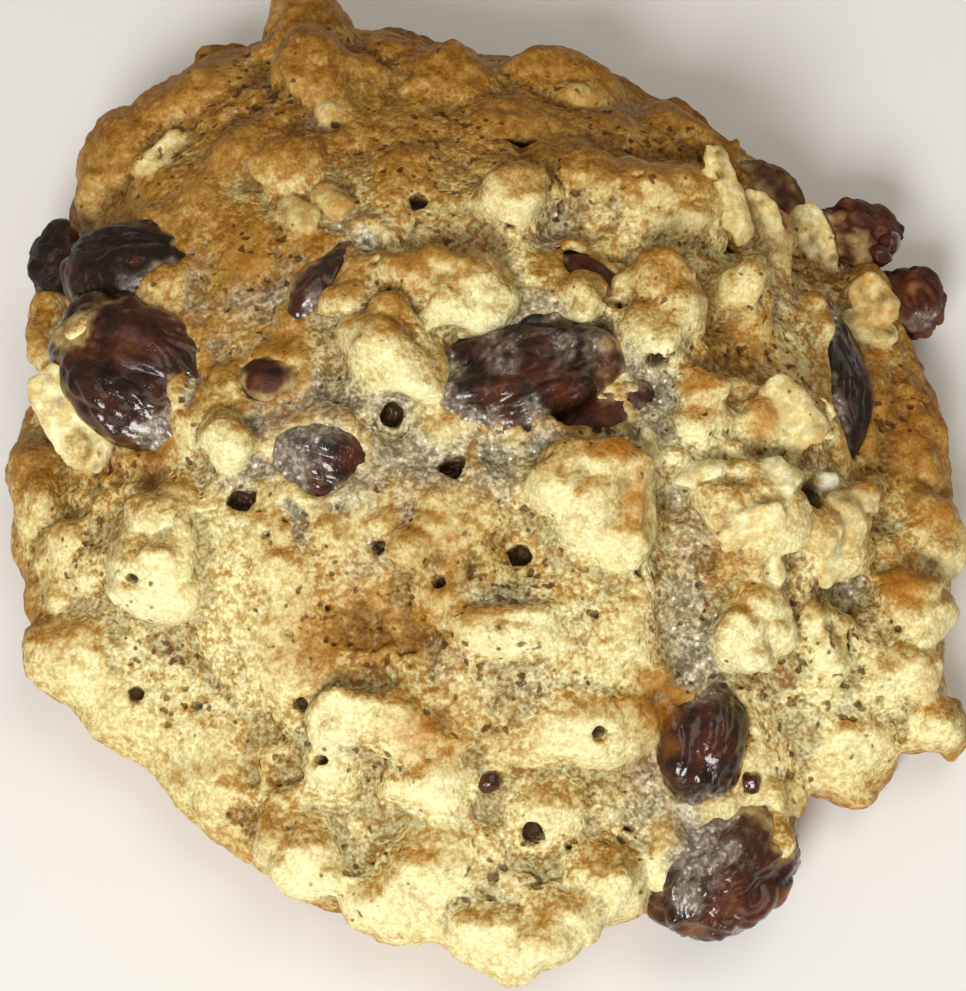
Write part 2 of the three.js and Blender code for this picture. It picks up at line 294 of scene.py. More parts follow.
knobLook = {"depth": 0.85, "turn": 12, "sink": 0.35}

# oats pressed into the crust: pixel, half length and half width, turn as seen
pressedOats = [
    (288, 158, 2.8, 1.8, 15), (520, 124, 3.3, 1.6, 8), (440, 92, 2.6, 1.6, -10), (590, 100, 2.6, 1.5, -20),
    (225, 110, 2.8, 1.6, 30), (400, 160, 2.2, 1.5, 20), (455, 225, 2.0, 1.3, 0), (90, 200, 2.4, 1.3, 60),
    (560, 590, 2.7, 1.2, 8), (880, 390, 2.8, 1.3, -70), (905, 450, 2.6, 1.2, -75),
]
pressedLook = {"half": 0.6, "sink": 0.1}

# dough drawn out along a line: pixels and half widths in mm
ridges = [
    [(46, 362, 0.8), (62, 410, 1.2), (76, 452, 1.3), (78, 468, 0.5)],
    [(36, 312, 1.7), (32, 340, 1.6)],
    [(62, 338, 0.7), (84, 330, 0.8)],
    [(66, 302, 0.5), (86, 292, 0.5)],
    [(262, 790, 0.8), (268, 762, 0.9), (290, 748, 0.8)],
    [(392, 744, 0.9), (430, 732, 1.0), (468, 742, 0.8)],
    [(478, 122, 0.8), (515, 128, 1.1), (556, 122, 0.8)],
    [(345, 386, 0.9), (380, 388, 1.0), (424, 384, 0.9), (440, 362, 0.8)],
    [(440, 318, 1.0), (480, 316, 1.0), (505, 300, 0.8)],
    [(584, 282, 0.7), (600, 300, 0.7), (618, 312, 0.6)],
    [(790, 800, 0.5), (776, 790, 0.9), (776, 826, 0.9), (782, 848, 0.7)],
    [(668, 818, 1.0), (660, 848, 1.4), (655, 876, 1.5)],
    [(284, 424, 0.8), (312, 416, 0.8), (344, 420, 0.8)],
    [(520, 464, 0.7), (550, 456, 0.7), (600, 452, 0.7), (642, 450, 0.6)],
    [(676, 370, 0.9), (700, 352, 0.8)],
    [(690, 488, 0.8), (720, 520, 0.9), (760, 524, 0.8)],
    [(720, 560, 0.9), (745, 548, 0.9), (790, 520, 0.9)],
    [(815, 560, 0.8), (838, 520, 0.9), (862, 490, 0.9)],
    [(876, 585, 0.9), (905, 610, 0.9), (924, 606, 0.6)],
    [(100, 500, 0.8), (130, 486, 0.9), (170, 492, 0.9), (200, 510, 0.8)],
    [(482, 606, 0.7), (530, 612, 0.8), (575, 606, 0.7)],
    [(878, 352, 0.5), (892, 400, 0.7), (900, 470, 0.5)],
    [(902, 372, 0.5), (922, 430, 0.7), (930, 480, 0.5)],
    [(868, 420, 0.4), (878, 470, 0.6), (880, 510, 0.4)],
]
ridgeLook = {"spacing": 0.7, "sink": 0.2}

# hollows in the crust, or swellings where the depth is below 0: pixel, radius and depth in mm
hollows = [
    (330, 640, 2.8, 1.3), (390, 632, 3.0, 1.4), (430, 640, 1.8, 0.7), (252, 775, 1.0, 0.7),
    (250, 812, 1.0, 0.7), (120, 468, 3.6, 0.9), (672, 505, 1.5, 0.8), (668, 560, 1.5, 0.7),
    (676, 620, 1.6, 0.8), (684, 655, 1.4, 0.6), (850, 600, 1.3, 0.9), (846, 632, 1.1, 0.9),
    (735, 338, 2.6, 0.8), (560, 236, 2.4, 0.7), (480, 236, 2.0, 0.7), (520, 545, 2.4, 0.6),
    (450, 560, 2.2, 0.5), (390, 585, 2.4, 0.4), (395, 425, 2.0, 0.5), (500, 450, 2.0, 0.6),
    (330, 390, 2.0, 0.5), (345, 275, 1.4, 0.6), (770, 300, 1.2, 0.7), (812, 495, 1.0, 1.6),
    (705, 560, 1.2, 0.8), (880, 520, 1.2, 0.7), (460, 350, 1.2, 0.8), (615, 300, 0.9, 1.0),
    (525, 146, 1.0, 0.5), (440, 235, 1.8, 0.6), (585, 235, 2.0, 0.5), (150, 480, 2.2, 0.6),
    (850, 795, 3.0, 1.0), (885, 778, 2.0, 0.7), (592, 416, 2.6, 0.8), (264, 12, 1.8, 1.6),
    (348, 8, 1.2, 0.5), (330, 126, 0.6, 0.6), (316, 822, 4.0, -0.9), (455, 806, 4.4, -0.8),
    (430, 790, 1.8, 0.5), (562, 735, 3.2, 0.8), (150, 596, 2.0, 0.5), (350, 735, 1.8, 0.4),
    (700, 860, 2.0, -0.4), (540, 860, 4.0, -0.4),
]

hiddenLumps = {
    "knobs": 36,
    "oats": 22,
    "half": (1.0, 2.3),
    "stretch": (1, 1.6),
    "flat": 0.6,
    "sink": 0.3,
    "oatHalves": ((2.2, 3.1), (1.2, 1.8)),  # long and wide
    "from": 80,  # mm from the middle, from where a slope is looked for
    "heights": (2, 18),
    "clear": 1.5,
    "slack": 0.5,
    "seed": 11,
}

ballLook = {"fineness": 3, "unevenness": 0.3, "pattern": 1.3}
patternShifts = (0, 90)


def unevenBall(body, middle, sizes, axes, rnd):  # sizes along the axes, with a lumpy skin
    look = ballLook
    shift = Vector([rnd.uniform(*patternShifts) for _ in range(3)])
    for vert in bmesh.ops.create_icosphere(body, subdivisions=look["fineness"], radius=1)["verts"]:
        place = vert.co * (1 + look["unevenness"] * noise.noise(vert.co * look["pattern"] + shift))
        steps = (axis * size * part for axis, size, part in zip(axes, sizes, place))
        vert.co = middle + sum(steps, Vector())


def restingAxes(normal, turn):  # along, across and out of the crust, the first at a turn as seen
    angle = math.radians(turn)
    along = across * math.cos(angle) + upward * math.sin(angle)
    along = (along - normal * along.dot(normal)).normalized()
    return along, normal.cross(along), normal


def hiddenPlace(tree, rnd):  # a place on the slopes where a lump stays hidden from the main view
    look = hiddenLumps
    while True:
        bearing = rnd.uniform(0, 2 * math.pi)
        outside = Vector((math.cos(bearing), math.sin(bearing), 0)) * look["from"]
        place, normal, _, _ = tree.ray_cast(outside + up * rnd.uniform(*look["heights"]), -outside)
        if place:
            ray = place + normal * look["clear"] - viewer
            if tree.ray_cast(viewer, ray, ray.length - look["slack"])[0]:
                return place, normal


def addRidge(body, tree, points, rnd):
    for start, end in zip(points, points[1:]):
        steps = math.ceil(math.dist(start[:2], end[:2]) * pixel / ridgeLook["spacing"])
        for step in range(steps + 1):
            u, v, half = (a + (b - a) * step / steps for a, b in zip(start, end))
            place, normal = seenAt(tree, u, v)
            middle = place - normal * half * ridgeLook["sink"]
            unevenBall(body, middle, (half, half, half), restingAxes(normal, 0), rnd)


def addLumps(body, tree, shown):
    rnd = random.Random(hiddenLumps["seed"])
    for u, v, wide, high in knobs:
        place, normal = seenAt(tree, u, v)
        least = knobLook["depth"] * min(wide, high)
        axes = restingAxes(normal, rnd.uniform(-knobLook["turn"], knobLook["turn"]))
        unevenBall(body, place - normal * least * knobLook["sink"], (wide, high, least), axes, rnd)
    for points in ridges:
        addRidge(body, shown, points, rnd)
    for u, v, long, wide, turn in pressedOats:
        place, normal = seenAt(tree, u, v)
        sizes = (long, wide, pressedLook["half"])
        unevenBall(body, place - normal * pressedLook["sink"], sizes, restingAxes(normal, turn), rnd)
    for _ in range(hiddenLumps["knobs"]):
        place, normal = hiddenPlace(tree, rnd)
        half = rnd.uniform(*hiddenLumps["half"])
        sizes = (half * rnd.uniform(*hiddenLumps["stretch"]), half, half * hiddenLumps["flat"])
        middle = place - normal * half * hiddenLumps["sink"]
        unevenBall(body, middle, sizes, restingAxes(normal, rnd.uniform(0, 180)), rnd)
    for _ in range(hiddenLumps["oats"]):
        place, normal = hiddenPlace(tree, rnd)
        long, wide = (rnd.uniform(*halves) for halves in hiddenLumps["oatHalves"])
        axes = restingAxes(normal, rnd.uniform(0, 180))
        unevenBall(body, place, (long, wide, pressedLook["half"]), axes, rnd)


# holes where bubbles broke: pixel, half width and half height in mm
bubbles = [
    (418, 201, 0.85, 0.8), (455, 191, 0.45, 0.42), (445, 202, 0.24, 0.24), (335, 124, 0.5, 0.42),
    (227, 307, 0.36, 0.55), (391, 415, 1.0, 1.0), (450, 466, 1.15, 1.05), (242, 499, 1.2, 1.0),
    (375, 260, 0.7, 0.28), (129, 156, 0.2, 0.2), (175, 171, 0.22, 0.26), (122, 188, 0.24, 0.24),
    (182, 201, 0.5, 0.2), (254, 204, 0.45, 0.22), (423, 104, 0.35, 0.16), (328, 29, 0.35, 0.25),
    (241, 53, 0.3, 0.25), (249, 77, 0.3, 0.25), (352, 195, 0.4, 0.14), (456, 344, 1.2, 1.5),
    (391, 121, 0.22, 0.2), (421, 136, 0.3, 0.2), (522, 143, 1.8, 0.4), (656, 139, 0.4, 0.35),
    (639, 172, 0.5, 0.38), (562, 206, 0.42, 0.58), (504, 204, 0.26, 0.2), (506, 227, 0.7, 0.35),
    (619, 263, 0.3, 0.36), (610, 290, 0.36, 0.9), (619, 304, 0.3, 0.6), (566, 282, 0.35, 0.2),
    (584, 309, 0.25, 0.3), (592, 325, 0.35, 0.28), (731, 246, 0.8, 0.7), (656, 365, 0.98, 0.9),
    (788, 338, 0.5, 0.34), (796, 319, 0.3, 0.26), (527, 426, 0.45, 0.5), (547, 456, 0.38, 0.36),
    (673, 478, 0.26, 0.4), (684, 477, 0.22, 0.22), (812, 497, 1.0, 2.2), (667, 322, 0.16, 0.16),
    (667, 291, 0.16, 0.16), (499, 81, 0.4, 0.25), (555, 59, 0.2, 0.2), (550, 104, 0.25, 0.2),
    (721, 148, 0.28, 0.22), (132, 580, 0.55, 0.6), (136, 693, 0.72, 0.66), (196, 706, 0.62, 0.42),
    (228, 640, 0.45, 0.28), (285, 633, 0.48, 0.26), (269, 641, 0.28, 0.2), (255, 654, 0.32, 0.16),
    (215, 603, 0.34, 0.2), (252, 605, 0.24, 0.18), (230, 673, 0.42, 0.28), (231, 693, 0.22, 0.22),
    (328, 609, 0.4, 0.34), (378, 546, 0.75, 0.62), (438, 581, 0.6, 0.6), (266, 533, 0.5, 0.38),
    (301, 706, 0.7, 0.62), (316, 759, 0.9, 0.5), (343, 780, 0.25, 0.3), (289, 826, 0.42, 0.4),
    (429, 758, 0.32, 0.26), (373, 862, 0.45, 0.28), (230, 815, 0.4, 0.34), (381, 848, 0.2, 0.28),
    (407, 850, 0.24, 0.2), (456, 698, 0.28, 0.45), (257, 730, 0.28, 0.3), (43, 551, 0.24, 0.24),
    (144, 535, 0.3, 0.2), (99, 548, 0.2, 0.2), (519, 556, 1.05, 0.85), (525, 510, 0.55, 0.4),
    (641, 571, 0.42, 0.58), (582, 569, 0.4, 0.35), (565, 592, 0.22, 0.22), (594, 615, 0.44, 0.42),
    (699, 585, 0.4, 0.4), (703, 598, 0.36, 0.3), (600, 733, 0.66, 0.6), (531, 835, 0.92, 1.0),
    (621, 842, 0.36, 0.7), (630, 829, 0.7, 0.32), (637, 836, 0.3, 0.34), (665, 843, 0.36, 0.22),
    (686, 853, 0.3, 0.26), (689, 870, 0.36, 0.28), (852, 640, 0.5, 1.15), (850, 611, 0.42, 0.42),
    (780, 640, 0.36, 0.28), (897, 629, 0.46, 0.36), (880, 701, 0.44, 0.44), (844, 703, 0.16, 0.16),
    (753, 735, 0.26, 0.36), (895, 566, 0.3, 0.26), (568, 847, 0.4, 0.4), (523, 657, 0.2, 0.2),
    (456, 544, 0.22, 0.2), (486, 552, 0.22, 0.2), (407, 649, 0.8, 0.4), (592, 414, 3.2, 1.3),
]

bubbleLook = {"depth": 0.9, "extra": 0.25, "sink": 0.35}
hiddenBubbles = {"count": 40, "half": (0.22, 0.75), "stretch": (0.8, 1.5), "seed": 5}


def cutBubbles(dough):
    tree = treeOf(dough)
    rnd = random.Random(hiddenBubbles["seed"])
    body = bmesh.new()
    for u, v, wide, high in bubbles:
        place, normal = seenAt(tree, u, v)
        deep = bubbleLook["depth"] * (wide * high) ** 0.5 + bubbleLook["extra"]
        middle = place - normal * deep * bubbleLook["sink"]
        unevenBall(body, middle, (wide, high, deep), restingAxes(normal, 0), rnd)
    for _ in range(hiddenBubbles["count"]):
        place, normal = hiddenPlace(tree, rnd)
        half = rnd.uniform(*hiddenBubbles["half"])
        axes = restingAxes(normal, rnd.uniform(0, 180))
        sizes = (half * rnd.uniform(*hiddenBubbles["stretch"]), half, half)
        unevenBall(body, place - normal * half * bubbleLook["sink"], sizes, axes, rnd)
    balls = objectFrom("bubbles", body)
    cut = dough.modifiers.new("bubbles", "BOOLEAN")
    cut.operation = "DIFFERENCE"
    cut.solver = "MANIFOLD"
    cut.object = balls
    settle(dough)
    bpy.data.objects.remove(balls)
    dough.data.materials.clear()
    return tree


flakeLook = {
    "thickness": 1.0,
    "cup": 0.06,
    "cupSpread": (0.4, 1.5),
    "crease": 0.12,
    "creaseWidth": 0.16,
    "ragged": 0.08,
    "ribs": 11,
    "ribHeight": 0.05,
    "buckle": 0.2,
    "sink": 0.2,
    "reach": 0.5,  # mm from a flake where its colour may still show
    "edge": (0.1, 0.35),
    "fineness": 4,
    "faces": 1280,
    "seed": 23,
}

# flakes that stand out: pixel, length, width, turn as seen, lean about the length, lift, toasting
flakes = [
    (163, 153, 4.6, 1.6, 50, 4, 0.1, 0.5), (298, 216, 4.2, 2.2, -36, 0, 0.5, 0.7),
    (333, 203, 3.2, 2.0, -42, 0, 0.5, 0.8), (727, 196, 7.6, 2.2, -60, 34, 0.3, 0.6),
    (744, 168, 4.6, 2.6, -62, 26, 0.2, 0.8), (764, 218, 5.0, 2.4, -62, 34, 0.3, 0.6),
    (810, 240, 5.6, 3.0, -72, 40, 0.6, 0.48), (793, 412, 5.6, 3.2, -50, 12, 0.1, 0.5),
    (780, 476, 3.2, 2.0, -80, 24, 0.2, 0.35), (752, 526, 5.0, 2.2, 30, 18, 0.0, 0.45),
    (848, 502, 4.2, 2.0, 40, 10, 0.1, 0.6), (838, 545, 6.0, 2.4, 62, 22, 0.1, 0.5),
    (68, 420, 8.0, 3.8, -62, 0, -0.1, 0.45),
    (774, 568, 2.6, 1.1, -64, 10, 0.3, 0.3), (650, 446, 2.8, 1.1, 96, 30, 0.3, 0.3),
    (872, 300, 4.2, 3.0, -48, 16, 0.3, 0.8), (868, 330, 4.6, 2.4, -14, -16, 0.3, 0.6),
    (862, 242, 2.2, 1.5, -10, 0, 0.3, 0.6),
    (590, 100, 4.0, 1.8, -20, 0, -0.1, 1.2), (700, 470, 3.6, 2.2, -30, 14, 0.0, 0.3),
    (826, 484, 1.5, 1.4, 0, 0, 0.5, -0.4), (327, 112, 1.4, 1.3, 30, 0, 0.1, 0.7),
]


def leaning(normal, turn, lean):  # resting axes, tipped about the first
    axes = restingAxes(normal, turn)
    tip = Matrix.Rotation(math.radians(lean), 3, axes[0])
    return [tip @ axis for axis in axes]


def oatFlake(body, place, axes, length, width, rnd):
    look = flakeLook
    along, sideways, out = axes
    shift = Vector((rnd.uniform(*patternShifts), rnd.uniform(*patternShifts), 0))
    cup = look["cup"] * rnd.uniform(*look["cupSpread"])
    for vert in bmesh.ops.create_icosphere(body, subdivisions=look["fineness"], radius=1)["verts"]:
        x, y, z = vert.co
        edge = math.hypot(x, y)
        blunt = edge / (abs(x) ** 3 + abs(y) ** 3) ** (1 / 3) if edge > 0.001 else 1
        torn = blunt + look["ragged"] * edge ** 3 * noise.noise(Vector((x, y, 0)) * 2.2 + shift) * 2
        groove = look["crease"] * math.exp(-(y / look["creaseWidth"]) ** 2) * (1 - edge ** 2)
        wave = y * look["ribs"] + 2 * noise.noise(shift + Vector((x * 2, 0, 0)))
        ribs = look["ribHeight"] * math.sin(wave)
        buckle = look["buckle"] * noise.noise(Vector((x, y, 3)) * 1.1 + shift)
        height = z * look["thickness"] / 2 + width * (cup * edge ** 2 + buckle) + max(z, 0) * (ribs - groove)
        vert.co = place + along * x * torn * length / 2 + sideways * y * torn * width / 2 + out * height


def addFlakes(dough, crust):  # set in the crust, which the skin then joins them to
    rnd = random.Random(flakeLook["seed"])
    body = bmesh.new()
    for u, v, length, width, turn, lean, lift, _ in flakes:
        place, normal = seenAt(crust, u, v)
        middle = place + normal * (lift - flakeLook["sink"])
        oatFlake(body, middle, leaning(normal, turn, lean), length, width, rnd)
    tree = BVHTree.FromBMesh(body)
    for vert in body.verts:
        vert.co *= mm
    body.from_mesh(dough.data)
    body.to_mesh(dough.data)
    body.free()
    return tree


def oatMasks(flakeTree, places):  # where a flake is, and how toasted it is there
    look = flakeLook
    found = [flakeTree.find_nearest(place, look["reach"]) for place in places.tolist()]
    near = np.array([look["reach"] if far is None else far for _, _, _, far in found])
    faces = [face for _, _, face, _ in found]
    toasting = [0 if face is None else flakes[face // look["faces"]][-1] for face in faces]
    return 1 - ramp(near, *look["edge"]), np.array(toasting)


# stretches of plainer crust: pixel, radius in mm, strength
calmPatches = [
    (300, 60, 12, 0.8), (130, 130, 9, 0.8), (560, 60, 9, 0.7), (230, 250, 7, 0.6), (160, 720, 8, 0.8),
    (240, 660, 8, 0.8), (560, 690, 7, 0.7), (560, 800, 6, 0.5), (800, 760, 8, 0.7), (880, 400, 6, 0.7),
]


doughForms = {
    "foot": (0.3, 2.5),  # heights between which the forms set in
    "lumpRounds": 60,
    "lumpSmoothness": 0.5,
    "broad": (0.25, 5.5, 3),  # depth, size, seed, and so below
    "small": (0.2, 2.2, 4),
    "plates": (0.45, 2.7, 5),
    "plateLevel": 0.35,
    "rimReach": (0.2, 1.8),
    "rimSwell": (0.8, 1.6, 10),
    "wander": (0.7, 4.2, 1),
}


def roundedDough(raisinTree):  # the larger forms, with the crust's folds and cobbles
    look = doughForms
    body = nodeCopy("dough")
    tree = BVHTree.FromBMesh(body)
    addLumps(body, tree, treeOf(*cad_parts.values()))
    dough = objectFrom("cookie_dough", body)
    knead(dough, doughLook["voxel"], doughLook["softening"])
    print("dough: base", len(dough.data.vertices))
    places, normals = placesOf(dough), normalsOf(dough)
    free = ramp(places[:, 2], *look["foot"])
    shown = treeOf(dough)
    rough = 1 - patches(shown, places, calmPatches)
    lumpy = ramp(standing(dough, look["lumpRounds"]), 0.0, 0.5)
    rough *= 1 - look["lumpSmoothness"] * lumpy
    near = 1 - ramp(distances(raisinTree, places, 2), *look["rimReach"])
    broad, small, plates, rim, wander = (look[f] for f in ("broad", "small", "plates", "rimSwell", "wander"))
    lift = broad[0] * swell(places, *broad[1:]) + rough * small[0] * swell(places, *small[1:])
    lift += rough * plates[0] * (cobbles(places, *plates[1:]) - look["plateLevel"])
    lift += doughLook["rimSwell"] * near * (1 + rim[0] * swell(places, *rim[1:]))
    for u, v, radius, depth in hollows:
        lift -= patches(shown, places, [(u, v, radius, depth)])
    moved = drift(places, *wander[1:]) * wander[0] * free[:, None]
    places += moved + normals * (lift * free)[:, None]
    setPlaces(dough, places)
    return dough


fineForms = {
    "foot": (0.1, 1.2),
    "roughParts": (6, 6),  # size and seed
    "roughLevels": (-0.5, 0.6),
    "lumpRounds": 80,
    "lumpSmoothness": 0.6,
    "lift": 0.12,
    "soft": (0.09, 1.1, 7),
    "fine": (0.06, 0.55, 8),
    "plates": (1.15, 9),
    "plateDepths": (0.05, 0.18),  # everywhere, and added in the rough parts
    "plateLevel": 0.35,
}


def bakedDough(raisinTree):
    look = fineForms
    dough = roundedDough(raisinTree)
    uncut = cutBubbles(dough)
    flakeTree = addFlakes(dough, uncut)
    knead(dough, doughLook["fineVoxel"], doughLook["fineSoftening"])
    print("dough: fine skin", len(dough.data.vertices))
    places, normals = placesOf(dough), normalsOf(dough)
    free = ramp(places[:, 2], *look["foot"])
    lumpy = ramp(standing(dough, look["lumpRounds"]), 0.0, 0.4)
    rough = ramp(swell(places, *look["roughParts"]), *look["roughLevels"])
    rough = rough * (1 - look["lumpSmoothness"] * lumpy)
    soft, fine, (depth, added) = look["soft"], look["fine"], look["plateDepths"]
    lift = look["lift"] + soft[0] * swell(places, *soft[1:]) + fine[0] * swell(places, *fine[1:])
    lift += (depth + added * rough) * (cobbles(places, *look["plates"]) - look["plateLevel"])
    places += normals * (lift * free)[:, None]
    places[:, 2] = np.maximum(places[:, 2], 0)
    setPlaces(dough, places)
    thin = dough.modifiers.new("thin", "DECIMATE")
    thin.ratio = min(1, doughLook["faces"] / (2 * len(dough.data.polygons)))
    settle(dough)
    dropSpecks(dough, doughLook["leastShell"])
    dough.data.validate()  # thinning can lay faces on each other
    print("dough: faces", sum(len(face.vertices) - 2 for face in dough.data.polygons))
    dough.data.shade_smooth()
    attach(dough, "root")
    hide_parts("dough")
    return dough, uncut, flakeTree


raisinLook = {
    "voxel": 0.16,
    "softening": 6,
    "folds": [(3.2, 0.8, 1), (1.4, 0.46, 2), (0.7, 0.26, 3)],  # size, depth, seed
    "stretch": 0.36,
    "wander": (0.35, 1.6),  # depth and size
    "apart": 100,
    "foldLevel": 0.35,
    "lowest": 0.05,
}

# each raisin: warmth of its brown, depth of its folds, dullness, how far it is grown in mm
raisinTraits = {
    "raisin_left_back": (0.1, 0.55, 0.5, 0.8), "raisin_left_tip": (0.05, 0.9, 0.7, 0.4),
    "raisin_left_front": (0.45, 0.75, 0.1, 0.85), "raisin_sliver": (0.3, 0.8, 0.1, 0.3),
    "raisin_veiled": (0.7, 0.4, 1.0, 0.45), "raisin_mid_left": (0.5, 0.7, 0.1, 0.5),
    "raisin_centre": (0.4, 1.1, 0.3, 0.8), "raisin_centre_right": (0.6, 0.4, 0.5, 1.0),
    "raisin_peeking": (0.8, 0.6, 0.8, 0.2), "raisin_right_long": (0.15, 0.7, 0.5, 0.1),
    "raisin_far_brown": (1.0, 0.7, 1.0, 0.0), "raisin_far_dark": (0.7, 1.4, 1.0, 0.2),
    "raisin_far_red": (0.9, 1.2, 0.9, 0.2), "raisin_front_upper": (0.35, 0.7, 0.0, 0.6),
    "raisin_front_lower": (0.55, 0.9, 0.1, 0.3),
}


def alongRaisin(places):  # places turned so that the first axis runs along the raisin
    middle = places.mean(0)
    _, axes = np.linalg.eigh(np.cov((places - middle).T))
    return (places - middle) @ axes[:, ::-1]


def wrinkledRaisin(node, seed):
    look = raisinLook
    _, deep, _, grown = raisinTraits[node]
    raisin = objectFrom(node.replace("raisin", "skin"), nodeCopy(node))
    knead(raisin, look["voxel"], look["softening"])
    places, normals = placesOf(raisin), normalsOf(raisin)
    along = alongRaisin(places) * np.array([look["stretch"], 1, 1])
    depth, size = look["wander"]
    along += depth * drift(along, size, seed) + look["apart"] * seed
    lift = np.full(len(places), grown)
    for size, depth, offset in look["folds"]:
        lift += depth * deep * (np.abs(swell(along, size, seed + offset)) - look["foldLevel"])
    places += normals * lift[:, None]
    places[:, 2] = np.maximum(places[:, 2], look["lowest"])
    setPlaces(raisin, places)
    raisin.data.shade_smooth()
    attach(raisin, "root")
    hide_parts(node)
    return raisin


# on the raisins: pixel, radius in mm, strength
smears = [
    (68, 330, 2.0, 1.0), (40, 330, 2.2, 1.0), (100, 305, 1.8, 0.7), (130, 312, 1.6, 0.4),
    (298, 256, 1.3, 1.1), (286, 288, 1.4, 1.1), (310, 240, 1.0, 0.8), (290, 365, 1.4, 0.5),
    (610, 345, 1.2, 0.7), (602, 368, 1.2, 0.8), (600, 290, 1.6, 0.6), (760, 785, 1.6, 0.8),
    (775, 806, 2.2, 1.3), (788, 840, 1.6, 1.0), (262, 396, 1.0, 0.6), (290, 388, 0.9, 0.6),
    (244, 376, 0.8, 0.6), (268, 356, 0.9, 0.6), (765, 185, 2.6, 0.7), (672, 712, 0.6, 0.4),
    (860, 242, 1.4, 1.0), (840, 222, 1.6, 0.5), (912, 298, 1.2, 0.4), (480, 395, 1.2, 0.4),
]
films = [
    (165, 435, 2.2, 1.0), (195, 445, 1.6, 1.0), (110, 445, 1.2, 0.7), (285, 445, 1.8, 1.0),
    (300, 475, 1.4, 0.8), (440, 410, 2.2, 0.9), (425, 395, 1.6, 0.9), (480, 425, 1.6, 0.8),
    (530, 412, 1.2, 0.7), (500, 345, 2.2, 0.6), (560, 340, 2.2, 0.7), (600, 350, 2.0, 0.6),
    (450, 370, 1.6, 0.6), (710, 815, 2.0, 1.1), (700, 850, 2.2, 1.2), (690, 895, 1.4, 0.9),
    (725, 850, 1.6, 0.8), (835, 320, 1.0, 0.5), (838, 400, 1.4, 0.5), (272, 400, 1.2, 0.3),
    (322, 308, 1.4, 1.0), (705, 680, 2.0, 0.8), (120, 285, 2.0, 0.3), (925, 320, 1.4, 0.8),
    (880, 245, 1.2, 0.4), (310, 430, 2.0, 0.9), (290, 470, 1.8, 1.2), (742, 935, 0.8, 1.0),
    (640, 420, 1.4, 0.4),
]
dulls = [
    (120, 330, 3.4, 0.8), (90, 300, 2.0, 0.6), (500, 350, 3.0, 0.5), (560, 345, 3.0, 0.5),
    (590, 412, 2.0, 0.3),
]
ambers = [
    (664, 715, 1.6, 1.0), (672, 745, 1.2, 0.7), (785, 900, 1.4, 0.8), (690, 930, 1.4, 0.7),
    (905, 290, 2.0, 0.6),
]


def raisinMasks(raisins, dough):
    shown, crust = treeOf(*raisins, dough), treeOf(dough)
    for raisin in raisins:
        places = placesOf(raisin)
        uneven = 0.5 * swell(places, 1.4, 21) + 0.35 * swell(places, 0.6, 22)
        touch = 1 - ramp(distances(crust, places, 1.2), 0.1, 0.8)
        smeared = 1.2 * patches(shown, places, smears) + 0.45 * touch + 0.5 * uneven
        filmed = 1.2 * patches(shown, places, films) + 0.35 * touch + 0.5 * uneven
        setMask(raisin, "smear", ramp(smeared, 0.4, 1.1))
        setMask(raisin, "film", ramp(filmed, 0.25, 1.0))
        setMask(raisin, "amber", patches(shown, places, ambers) + 0.2 * uneven)
        warmth, _, dullness, _ = raisinTraits[raisin.name.replace("skin", "raisin")]
        setMask(raisin, "dull", dullness + patches(shown, places, dulls) + 0.3 * swell(places, 1.6, 24))
        setMask(raisin, "warm", warmth + 0.35 * swell(places, 2.6, 23))


# on the crust: pixel, radius in mm, strength
# browner patches: baked browning, and painted shade in the hollow at the front and under the left front
# raisin
brownedAndShaded = [
    (300, 60, 14, 1.0), (150, 150, 12, 1.0), (520, 60, 13, 1.0), (420, 130, 9, 0.8), (640, 120, 10, 0.9),
    (220, 240, 9, 0.8), (700, 160, 5, 0.6), (240, 330, 6, 0.6), (590, 260, 3.5, 0.7),
    (660, 262, 3.6, 0.8), (740, 340, 4.5, 0.9), (700, 370, 2.2, 0.6), (905, 430, 7, 1.2),
    (885, 350, 5, 0.8), (905, 570, 3.2, 0.9), (20, 470, 4, 0.8), (60, 460, 4, 0.7), (30, 600, 4.5, 0.6),
    (100, 480, 4, 0.6), (340, 620, 4.5, 0.7), (350, 640, 4, 0.8), (420, 640, 3, 0.6), (480, 560, 4, 0.5),
    (500, 545, 2, 0.6), (340, 560, 3, 0.4), (260, 770, 2.6, 0.6), (265, 820, 2, 0.5),
    (450, 725, 3.2, 0.7), (380, 730, 2, 0.4), (500, 740, 2.6, 0.6), (730, 560, 2.6, 0.8),
    (300, 270, 5, 0.9), (240, 300, 6, 0.9), (220, 360, 4, 0.7), (326, 640, 3.6, 1.05),
    (412, 636, 3.6, 1.05), (370, 640, 3.6, 1.05), (370, 610, 4, 0.9), (440, 565, 4, 0.9),
    (664, 700, 2.4, 1.6), (150, 462, 2.4, 1.2), (110, 462, 2, 1.2), (660, 760, 2, 0.7),
    (270, 345, 3, 1.2), (395, 308, 2.2, 1.0), (350, 290, 2, 0.7), (240, 260, 5, 1.2), (410, 560, 4, 0.6),
    (430, 600, 3, 0.6), (290, 395, 4, 0.6), (850, 250, 5, 0.9), (250, 820, 2.6, 0.5), (800, 300, 3, 0.6),
    (580, 430, 2.6, 0.6), (560, 462, 2, 0.5), (630, 520, 2, 0.6), (120, 520, 3, 0.4),
    (420, 262, 2.6, 0.9), (455, 255, 2.4, 0.8), (380, 300, 1.6, 0.5), (945, 510, 2, 0.7),
    (355, 300, 1.6, 0.5), (620, 448, 2.2, 0.8), (540, 130, 3, 0.6), (620, 130, 4, 0.7),
    (655, 200, 2.4, 0.4), (700, 360, 2.6, 0.8), (760, 430, 1.2, 0.8), (820, 540, 1.4, 0.6),
    (725, 540, 2, 0.7), (906, 575, 3, 0.9),
]
